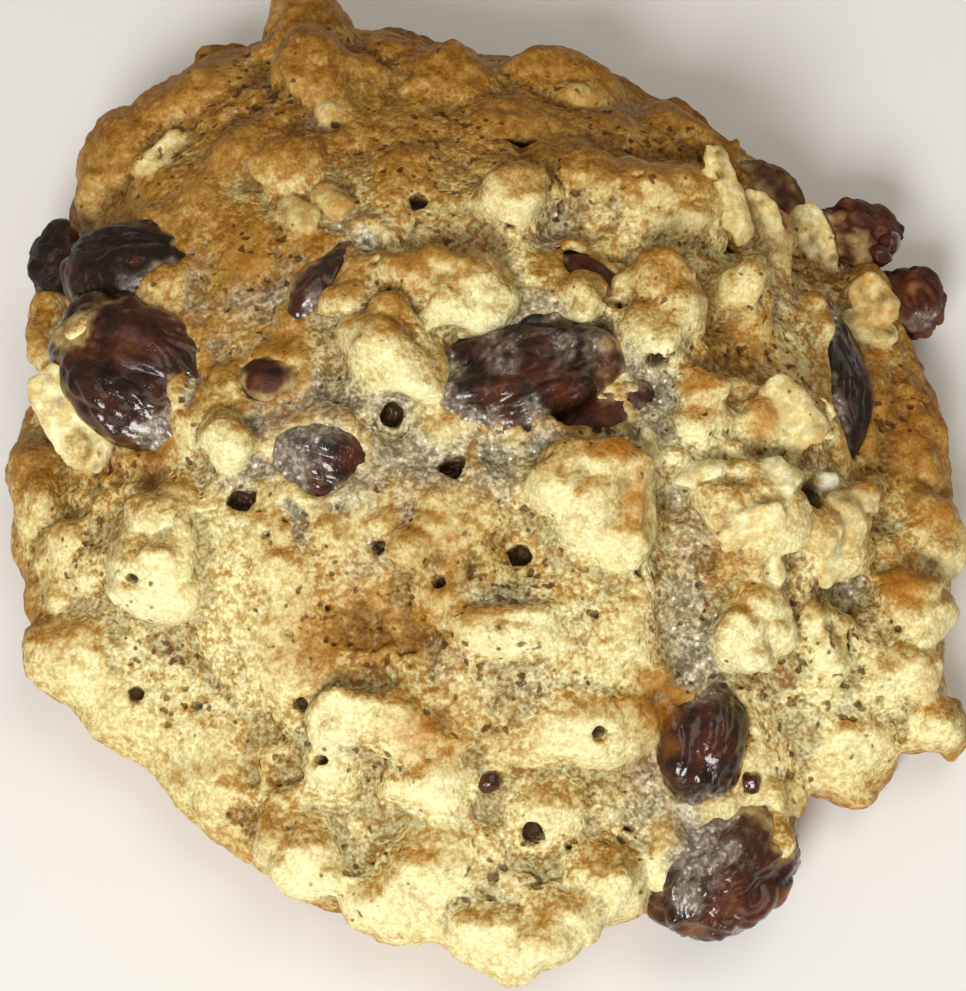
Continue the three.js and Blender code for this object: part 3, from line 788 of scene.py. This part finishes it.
toasted = [
    (664, 702, 1.6, 0.5), (706, 400, 2.0, 0.5), (590, 500, 2.4, 0.4), (642, 500, 2.0, 0.9),
    (768, 415, 1.5, 1.0), (760, 430, 1.6, 0.8), (740, 390, 1.6, 0.5), (644, 485, 1.8, 0.8),
    (620, 440, 2.4, 0.6), (300, 216, 1.8, 0.8), (331, 203, 1.6, 0.8), (415, 740, 2.4, 0.7),
    (455, 745, 1.8, 0.6), (868, 490, 1.5, 0.8), (905, 595, 2.4, 0.6), (948, 520, 1.6, 0.8),
    (720, 545, 2.2, 0.6), (745, 600, 1.2, 0.4), (372, 335, 1.6, 0.4), (60, 640, 3, 0.5),
    (430, 860, 2, 0.4), (930, 690, 2, 0.6), (860, 300, 2, 0.8), (318, 852, 1.2, 0.5), (655, 200, 3, 0.4),
    (548, 100, 3, 0.3), (690, 270, 2, 0.4), (390, 265, 2.5, 0.4),
]
creams = [
    (410, 365, 2.6, 0.9), (425, 350, 1.8, 1.0), (490, 300, 3, 0.9), (440, 300, 2.4, 0.7),
    (680, 340, 3, 0.9), (700, 310, 2, 0.5), (510, 190, 2, 0.6), (742, 288, 2, 0.9), (225, 440, 2, 1.0),
    (375, 228, 2, 0.7), (570, 490, 3.2, 0.8), (600, 530, 2.4, 0.7), (690, 440, 2.4, 0.8),
    (720, 470, 2, 0.7), (785, 478, 1.6, 1.0), (745, 640, 2.2, 1.0), (780, 600, 2.4, 0.7),
    (540, 610, 3, 0.6), (350, 740, 2.4, 0.8), (540, 940, 4, 0.5), (450, 800, 4, 0.5),
    (340, 700, 2.6, 0.8), (140, 600, 3.4, 0.5), (170, 630, 4, 0.3), (185, 540, 1.8, 0.6),
    (900, 640, 3, 0.5), (95, 620, 3, 0.5), (840, 700, 4, 0.4), (380, 940, 4, 0.3), (480, 900, 4, 0.4),
    (150, 545, 2.4, 0.6), (320, 826, 3.4, 0.8), (336, 110, 1.6, 0.5), (165, 150, 3, 0.5),
    (240, 340, 3, 0.3),
]
greyFilms = [
    (430, 480, 4, 1.0), (480, 470, 3, 0.8), (350, 490, 4, 0.9), (240, 470, 2.4, 0.8),
    (640, 350, 2.2, 0.7), (655, 390, 2.6, 0.6), (660, 440, 2, 0.6), (540, 440, 2, 0.7),
    (320, 400, 3.4, 0.7), (270, 420, 3, 0.7), (390, 400, 2.2, 0.7), (690, 640, 2.6, 0.9),
    (680, 600, 2.4, 0.8), (690, 670, 2.4, 0.9), (350, 310, 2.2, 0.7), (365, 260, 1.6, 0.4),
    (440, 535, 4, 0.5), (480, 600, 3, 0.5), (600, 400, 2, 0.5), (720, 520, 2.6, 0.6),
    (670, 500, 2.4, 0.6), (690, 540, 2.6, 0.6), (850, 590, 2, 0.7), (840, 560, 2, 0.6),
    (560, 215, 2.4, 0.6), (595, 205, 3, 0.5), (540, 230, 2.6, 0.5), (260, 280, 3, 0.4),
    (684, 820, 2.4, 1.0), (680, 860, 2, 1.0), (520, 330, 3, 0.5), (560, 310, 3, 0.5), (250, 640, 3, 0.3),
    (375, 228, 2, 0.5), (150, 690, 2.4, 0.3), (440, 590, 2, 0.6), (770, 250, 2.4, 0.5),
    (775, 300, 2.6, 0.5), (380, 556, 4, 0.5), (500, 700, 6, 0.4), (240, 300, 5, 0.45), (220, 400, 3, 0.5),
    (260, 500, 4, 0.6), (300, 520, 4, 0.5), (327, 112, 1.4, 0.7), (590, 440, 2, 0.6), (640, 780, 4, 0.4),
    (660, 820, 3, 0.4),
]


crustLook = {
    "lumpRounds": 160,
    "creaseRounds": 26,
    "upAndBack": (0, 0.75, 0.65),  # up and to the back: browner there, partly from baking and partly painted shade on faces turned from the key light
    "baked": 0.3,  # how far it is baked everywhere, and what the parts below add, painted shade among them
    "brown": 0.38,
    "topsBakedAndShaded": 0.26,
    "shadedValleys": 0.1,
    "uneven": 0.06,
    "foot": 0.4,
    "cream": 0.16,  # and what these take off
    "litFronts": 0.16,
    "sides": 0.8,
    "under": 0.8,
}


def crustMasks(dough, uncut, flakeTree, raisins):
    look = crustLook
    places, normals = placesOf(dough), normalsOf(dough)
    shown = treeOf(dough, *raisins)
    lumpy, fine = standing(dough, look["lumpRounds"]), standing(dough, look["creaseRounds"])
    uneven = 0.6 * swell(places, 4.2, 31) + 0.4 * swell(places, 1.7, 32)
    facing = normals @ np.array(look["upAndBack"])
    raised = ramp(lumpy, 0.0, 0.6)
    # lump tops turned up and back: browner, partly baked browning and partly painted shade
    topsBakedAndShaded = ramp(lumpy, -0.1, 0.4) * ramp(facing, 0.15, 0.8)
    # painted light: lumps paler on the faces turned to the front, where the key light falls
    litFronts = raised * ramp(-normals[:, 1], 0.1, 0.7) * ramp(places[:, 2], 3, 8)
    # browner towards the back: partly baked browning, partly painted shade on the slope turned from the key
    # light
    farBackBrownAndShade = ramp(places[:, 1] - crown.y, 8, 22)
    sides = ramp(np.hypot(places[:, 0], places[:, 1]), 27, 37) * ramp(places[:, 1] - crown.y, -16, 8)
    brown = np.maximum(patches(shown, places, brownedAndShaded), np.maximum(farBackBrownAndShade, look["sides"] * sides))
    # painted shade: the valleys between the lumps are made darker
    shadedValleys = ramp(-lumpy, 0.1, 0.9)
    under = 1 - ramp(places[:, 2], 0.3, 2.2)
    baked = look["baked"] + look["brown"] * brown + look["topsBakedAndShaded"] * topsBakedAndShaded * (1 - 0.6 * brown)
    baked = baked + look["shadedValleys"] * shadedValleys + look["uneven"] * uneven
    baked -= look["cream"] * patches(shown, places, creams) + look["litFronts"] * litFronts * (1 - 0.7 * brown)
    baked += look["foot"] * (1 - ramp(places[:, 2], 1, 8))
    setMask(dough, "baked", np.maximum(baked, look["under"] * under))
    # toasted patches, with more on the lump tops, where it is partly painted shade
    setMask(dough, "toasted", patches(shown, places, toasted) + 0.25 * topsBakedAndShaded + 0.15 * uneven - 0.12)
    near = 1 - ramp(distances(treeOf(*raisins), places, 3), 0.1, 2.2)
    film = patches(shown, places, greyFilms) + 0.4 * near - 0.5 * ramp(lumpy, 0.1, 0.7)
    setMask(dough, "film", ramp(film + 0.35 * uneven, 0.15, 0.9))
    oat, toasting = oatMasks(flakeTree, places)
    setMask(dough, "oat", oat)
    setMask(dough, "oatToast", toasting)
    # painted shade inside the bubble holes
    setMask(dough, "pit", ramp(distances(uncut, places, 1.5), 0.3, 0.8) * (1 - oat))
    # painted shade in the creases and between the lumps, which the crust material darkens
    setMask(dough, "crease", ramp(-fine, 0.04, 0.2) + 0.3 * ramp(-lumpy, 0.15, 0.9))
    setMask(dough, "porous", 0.5 + 0.6 * swell(places, 6, 33) + 0.3 * brown - 0.4 * raised)
    setMask(dough, "crumbly", ((0.95 - 0.5 * brown) * (1 - 0.45 * raised) + 0.2 * uneven) * (1 - 0.7 * oat))
    print("dough: colour masks made")


# scraps of raisin: pixel, radius, how far the middle stands off the crust
scraps = [
    (488, 782, 0.85, 0.1), (750, 783, 0.8, 0.2), (888, 244, 1.1, 0.1), (880, 256, 0.9, 0.0),
]


scrapLook = {"wide": 0.85, "deep": 0.8, "warmth": 0.6, "seed": 3}


def raisinScraps(shown):
    look = scrapLook
    rnd = random.Random(look["seed"])
    body = bmesh.new()
    for u, v, radius, lift in scraps:
        place, normal = seenAt(shown, u, v)
        axes = restingAxes(normal, rnd.uniform(0, 180))
        sizes = (radius, radius * look["wide"], radius * look["deep"])
        unevenBall(body, place + normal * lift, sizes, axes, rnd)
    piece = objectFrom("raisin_scraps", body)
    setMask(piece, "warm", np.full(len(piece.data.vertices), look["warmth"]))
    piece.data.shade_smooth()
    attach(piece, "root")
    return piece


# materials


def tone(red, green, blue):  # a screen colour, 0 to 255, as light
    levels = [level / 255 for level in (red, green, blue)]
    return (*(v / 12.92 if v <= 10 / 255 else ((v + 0.055) / 1.055) ** 2.4 for v in levels), 1)


def connect(tree, socket, value):
    if isinstance(value, bpy.types.NodeSocket):
        tree.links.new(value, socket)
    else:
        socket.default_value = value


def wire(tree, kind, inputs=None, **settings):
    made = tree.nodes.new("ShaderNode" + kind)
    for name, value in settings.items():
        setattr(made, name, value)
    for name, value in (inputs or {}).items():
        connect(tree, made.inputs[name], value)
    return made


def spots(tree, where, size, detail=4, roughness=0.6):  # an uneven pattern, spots of a size in mm
    inputs = {"Vector": where, "Scale": 1 / (size * mm), "Detail": detail, "Roughness": roughness}
    return wire(tree, "TexNoise", inputs).outputs["Fac"]


def maths(tree, operation, first, second):
    return wire(tree, "Math", {0: first, 1: second}, operation=operation).outputs[0]


def between(tree, value, low, high, start=0.0, end=1.0):  # a value ramped between two levels
    inputs = {"Value": value, "From Min": low, "From Max": high, "To Min": start, "To Max": end}
    return wire(tree, "MapRange", inputs, interpolation_type="SMOOTHSTEP").outputs["Result"]


def blend(tree, share, first, second, mode="MIX"):  # the first where share is 0, the second where it is 1
    made = wire(tree, "Mix", {0: share}, data_type="RGBA", blend_type=mode)
    connect(tree, made.inputs[6], first)
    connect(tree, made.inputs[7], second)
    return made.outputs[2]


def rampOf(tree, value, stops):
    made = wire(tree, "ValToRGB", {"Fac": value})
    elements = made.color_ramp.elements
    elements[0].color, elements[-1].color = stops[0][1], stops[-1][1]
    for position, colour in stops[1:-1]:
        elements.new(position).color = colour
    return made.outputs["Color"]


def mask(tree, name):
    return wire(tree, "Attribute", attribute_name=name).outputs["Fac"]


def effectGroup(name, inputs, outputs):
    tree = bpy.data.node_groups.new(name, "ShaderNodeTree")
    for label, kind in inputs.items():
        tree.interface.new_socket(label, in_out="INPUT", socket_type="NodeSocket" + kind)
    for label in outputs:
        tree.interface.new_socket(label, in_out="OUTPUT", socket_type="NodeSocketFloat")
    return tree, tree.nodes.new("NodeGroupInput").outputs, tree.nodes.new("NodeGroupOutput").inputs


def crumbGroup():  # crumbs of a size in mm, each with a tint of its own, 0 to 1
    tree, given, out = effectGroup("crumbs", {"Place": "Vector", "Size": "Float"}, ["Height", "Tint"])
    inputs = {"Vector": given["Place"], "Scale": 1.3 / mm, "Detail": 1}
    wander = wire(tree, "TexNoise", inputs).outputs["Color"]
    wander = wire(tree, "VectorMath", {0: wander, 1: (0.25 * mm,) * 3}, operation="MULTIPLY").outputs[0]
    place = wire(tree, "VectorMath", {0: given["Place"], 1: wander}, operation="ADD").outputs[0]
    scale = maths(tree, "DIVIDE", 1 / mm, given["Size"])
    cells = wire(tree, "TexVoronoi", {"Vector": place, "Scale": scale})
    tints = wire(tree, "SeparateColor", {"Color": cells.outputs["Color"]}).outputs
    tree.links.new(between(tree, cells.outputs["Distance"], 0.0, 0.75, 1.0, 0.0), out["Height"])
    tree.links.new(tints[0], out["Tint"])
    return tree


def pitGroup():  # ragged little holes of a size in mm, more of them where the share is high
    inputs = {"Place": "Vector", "Size": "Float", "Share": "Float"}
    tree, given, out = effectGroup("pits", inputs, ["Mask"])
    scale = maths(tree, "DIVIDE", 1 / mm, given["Size"])
    inputs = {"Vector": given["Place"], "Scale": scale, "Detail": 1}
    uneven = wire(tree, "TexNoise", inputs).outputs["Fac"]
    level = maths(tree, "ADD", 0.2, maths(tree, "MULTIPLY", given["Share"], 0.17))
    tree.links.new(between(tree, maths(tree, "SUBTRACT", uneven, level), -0.06, 0.05, 1.0, 0.0), out["Mask"])
    return tree


def placed(tree, group, **inputs):
    made = tree.nodes.new("ShaderNodeGroup")
    made.node_tree = group
    for name, value in inputs.items():
        connect(tree, made.inputs[name], value)
    return made.outputs


def freshMaterial(name):
    material = bpy.data.materials.new(name)
    material.use_nodes = True
    tree = material.node_tree
    return material, tree, tree.nodes["Principled BSDF"].inputs


def setShader(shader, values):
    for name, value in values.items():
        shader[name].default_value = value


def bumped(tree, height, strength, distance):
    return wire(tree, "Bump", {"Height": height, "Strength": strength, "Distance": distance * mm}).outputs[0]


crustTones = {
    "baking": [  # how far it is baked, 0 to 1, and the colour there
        (0.0, tone(238, 234, 182)), (0.2, tone(227, 214, 157)), (0.4, tone(206, 184, 121)),
        (0.6, tone(178, 135, 63)), (0.8, tone(150, 100, 22)), (1.0, tone(110, 62, 6)),
    ],
    "flake": [  # how toasted a flake is, and the colour there
        (0.0, tone(250, 249, 224)), (0.25, tone(240, 233, 182)),
        (0.5, tone(220, 201, 138)), (1.0, tone(184, 142, 66)),
    ],
    "toast": tone(180, 116, 28),
    "film": tone(134, 122, 96),
    "filmLight": tone(204, 196, 168),
    "glint": tone(255, 252, 238),
    # painted shade in the small pores
    "hole": tone(138, 104, 60),
    # painted shade inside the bubble holes
    "pit": tone(62, 42, 16),
}


crustSizes = {"small": 1.1, "grain": 0.25, "flecks": 0.5, "crumb": 0.42, "pits": 0.75}  # in mm
crustRelief = {"small": 0.09, "grain": 0.03, "crumb": 0.09, "pits": 0.12}  # in mm


def crustMaterial(crumbs, pits):
    tones, sizes, depths = crustTones, crustSizes, crustRelief
    material, tree, shader = freshMaterial("baked oat crust")
    here = wire(tree, "TexCoord").outputs["Object"]
    small, grain = spots(tree, here, sizes["small"], 3), spots(tree, here, sizes["grain"], 1)
    film, crumbly = mask(tree, "film"), mask(tree, "crumbly")
    crumb = placed(tree, crumbs, Place=here, Size=sizes["crumb"])
    height = crumb["Height"]
    flecks = between(tree, spots(tree, here, sizes["flecks"], 2), 0.3, 0.7, 0.0, 0.6)
    tint = maths(tree, "ADD", flecks, maths(tree, "MULTIPLY", crumb["Tint"], 0.4))
    holes = placed(tree, pits, Place=here, Size=sizes["pits"], Share=mask(tree, "porous"))["Mask"]
    paler = maths(tree, "MULTIPLY", crumbly, between(tree, tint, 0.1, 0.9, 0.25, -0.23))
    # baked holds the baked browning together with painted shade and painted light
    baked = maths(tree, "ADD", mask(tree, "baked"), between(tree, small, 0.3, 0.7, -0.09, 0.09))
    colour = rampOf(tree, maths(tree, "ADD", baked, paler), tones["baking"])
    colour = blend(tree, between(tree, mask(tree, "toasted"), 0.1, 1.0, 0.0, 0.8), colour, tones["toast"])
    filmColour = blend(tree, between(tree, tint, 0.2, 0.9), tones["film"], tones["filmLight"])
    colour = blend(tree, maths(tree, "MULTIPLY", film, 0.92), colour, filmColour)
    toasting = maths(tree, "ADD", mask(tree, "oatToast"), between(tree, small, 0.3, 0.7, -0.25, 0.25))
    colour = blend(tree, mask(tree, "oat"), colour, rampOf(tree, toasting, tones["flake"]))
    # painted shade: darker in the gaps between crumbs and in the creases
    gaps = maths(tree, "MULTIPLY", crumbly, between(tree, height, 0.0, 0.5, 0.06, 0.0))
    shaded = maths(tree, "ADD", gaps, between(tree, mask(tree, "crease"), 0.0, 1.0, 0.0, 0.34))
    speckle = maths(tree, "SUBTRACT", between(tree, grain, 0.3, 0.7, 0.9, 1.1), shaded)
    speckle = wire(tree, "CombineColor", {0: speckle, 1: speckle, 2: speckle}).outputs[0]
    colour = blend(tree, 1.0, colour, speckle, "MULTIPLY")
    # painted shade in the small pores
    colour = blend(tree, maths(tree, "MULTIPLY", holes, 0.9), colour, tones["hole"], "MULTIPLY")
    facets = between(tree, crumb["Tint"], 0.8, 0.95)
    facets = maths(tree, "MULTIPLY", facets, between(tree, height, 0.5, 0.8))
    facets = maths(tree, "MULTIPLY", facets, crumbly)
    glints = maths(tree, "MULTIPLY", facets, between(tree, film, 0.0, 0.8, 0.3, 0.9))
    colour = blend(tree, glints, colour, tones["glint"])
    # painted shade inside the bubble holes
    colour = blend(tree, mask(tree, "pit"), colour, tones["pit"])
    tree.links.new(colour, shader["Base Color"])
    dull = between(tree, film, 0.0, 0.8, 0.6, 0.32)
    tree.links.new(maths(tree, "SUBTRACT", dull, maths(tree, "MULTIPLY", facets, 0.15)), shader["Roughness"])
    relief = maths(tree, "MULTIPLY", maths(tree, "MULTIPLY", height, crumbly), depths["crumb"])
    relief = maths(tree, "ADD", relief, maths(tree, "MULTIPLY", grain, depths["grain"]))
    relief = maths(tree, "ADD", relief, maths(tree, "MULTIPLY", small, depths["small"]))
    relief = maths(tree, "SUBTRACT", relief, maths(tree, "MULTIPLY", holes, depths["pits"]))
    tree.links.new(bumped(tree, relief, 1.0, 1.0), shader["Normal"])
    setShader(shader, {"Specular IOR Level": 0.3})
    return material


raisinTones = {
    "black": tone(26, 12, 4),
    "red": tone(74, 32, 14),
    "warm": tone(104, 62, 30),
    "amber": tone(132, 74, 20),
    "film": tone(116, 100, 84),
    "filmLight": tone(190, 184, 172),
    "glint": tone(240, 238, 232),
    "smear": tone(138, 108, 62),
    "smearLight": tone(186, 158, 106),
}


def raisinMaterial(crumbs):
    tones = raisinTones
    material, tree, shader = freshMaterial("raisin skin")
    here = wire(tree, "TexCoord").outputs["Object"]
    small, grain = spots(tree, here, 1.0, 3, 0.65), spots(tree, here, 0.3, 2)
    film, smear = mask(tree, "film"), mask(tree, "smear")
    warm = maths(tree, "ADD", mask(tree, "warm"), between(tree, small, 0.3, 0.7, -0.25, 0.25))
    colour = blend(tree, between(tree, warm, 0.05, 0.8), tones["black"], tones["red"])
    colour = blend(tree, between(tree, warm, 0.65, 1.3), colour, tones["warm"])
    colour = blend(tree, between(tree, mask(tree, "amber"), 0.25, 0.9, 0.0, 0.85), colour, tones["amber"])
    crumb = placed(tree, crumbs, Place=here, Size=0.32)
    flecks = between(tree, spots(tree, here, 0.4, 3), 0.4, 0.75)
    filmColour = blend(tree, flecks, tones["film"], tones["filmLight"])
    filmed = maths(tree, "MULTIPLY", film, between(tree, small, 0.3, 0.6, 0.45, 1.0))
    colour = blend(tree, filmed, colour, filmColour)
    crumbly = blend(tree, between(tree, small, 0.35, 0.65), tones["smear"], tones["smearLight"])
    colour = blend(tree, smear, colour, crumbly)
    sparkle = maths(tree, "MULTIPLY", between(tree, crumb["Tint"], 0.8, 0.95), crumb["Height"])
    lit = maths(tree, "MULTIPLY", sparkle, between(tree, film, 0.1, 0.9, 0.0, 0.9))
    colour = blend(tree, lit, colour, tones["glint"])
    tree.links.new(colour, shader["Base Color"])
    dull = maths(tree, "MAXIMUM", smear, maths(tree, "MULTIPLY", film, 0.3))
    dull = maths(tree, "MAXIMUM", dull, mask(tree, "dull"))
    tree.links.new(between(tree, dull, 0.0, 1.0, 0.2, 0.6), shader["Roughness"])
    height = maths(tree, "ADD", maths(tree, "MULTIPLY", small, 0.9), maths(tree, "MULTIPLY", grain, 0.35))
    tree.links.new(bumped(tree, height, 0.7, 0.25), shader["Normal"])
    tree.links.new(between(tree, dull, 0.1, 0.7, 0.6, 0.0), shader["Coat Weight"])
    setShader(shader, {
        "Specular IOR Level": 0.3,
        "Coat Roughness": 0.1,
        "Subsurface Weight": 0.06,
        "Subsurface Radius": (0.8, 0.2, 0.1),
        "Subsurface Scale": 1.0 * mm,
    })
    return material


stageLook = {
    "key": ((-0.12, -0.44, 0.4), 0.22, 3.22, (1, 0.985, 0.955)),  # place, size, power, colour
    "fill": ((0.2, 0.1, 0.6), 0.4, 0.8, (1, 0.93, 0.8)),
    "litPlace": (0, 0, 0.01),
    "room": {"Color": (1, 0.9, 0.76, 1), "Strength": 0.28},
    "floor": {"Base Color": (0.86, 0.86, 0.86, 1), "Roughness": 0.6},
    "floorSize": 1500,
    "clipStart": 0.005,
}


def lookAt(obj, place, towards):
    obj.location = place
    obj.rotation_mode = "QUATERNION"
    obj.rotation_quaternion = (towards - place).to_track_quat("-Z", "Y")


def softLight(name, place, size, power, colour):
    light = bpy.data.lights.new(name, "AREA")
    light.shape = "SQUARE"
    light.size = size
    light.energy = power
    light.color = colour
    lookAt(newObject(name, light), Vector(place), Vector(stageLook["litPlace"]))


def makeStage():
    look = stageLook
    body = bmesh.new()
    bmesh.ops.create_grid(body, x_segments=1, y_segments=1, size=look["floorSize"])
    floor = objectFrom("floor", body)
    material, _, shader = freshMaterial("pale floor")
    setShader(shader, look["floor"])
    floor.data.materials.append(material)
    camera = bpy.data.cameras.new("camera")
    camera.sensor_width = view["sensor"]
    camera.lens = view["sensor"] * view["distance"] / (view["height"] * pixel)
    camera.clip_start = look["clipStart"]
    seat = newObject("camera", camera)
    lookAt(seat, viewer * mm, aim * mm)
    bpy.context.scene.camera = seat
    softLight("key light", *look["key"])
    softLight("fill light", *look["fill"])
    world = bpy.data.worlds.new("room")
    bpy.context.scene.world = world
    world.use_nodes = True
    setShader(world.node_tree.nodes["Background"].inputs, look["room"])
    bpy.context.scene.view_settings.view_transform = "Standard"


raisinNodes = sorted(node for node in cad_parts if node.startswith("raisin"))
raisins = [wrinkledRaisin(node, index + 1) for index, node in enumerate(raisinNodes)]
print("raisins: faces", sum(2 * len(raisin.data.polygons) for raisin in raisins))
dough, uncutTree, flakeTree = bakedDough(treeOf(*raisins))
crustMasks(dough, uncutTree, flakeTree, raisins)
raisinMasks(raisins, dough)
scrapPiece = raisinScraps(treeOf(dough, *raisins))
crumbEffect = crumbGroup()
dough.data.materials.append(crustMaterial(crumbEffect, pitGroup()))
skin = raisinMaterial(crumbEffect)
for raisin in [*raisins, scrapPiece]:
    raisin.data.materials.append(skin)
makeStage()
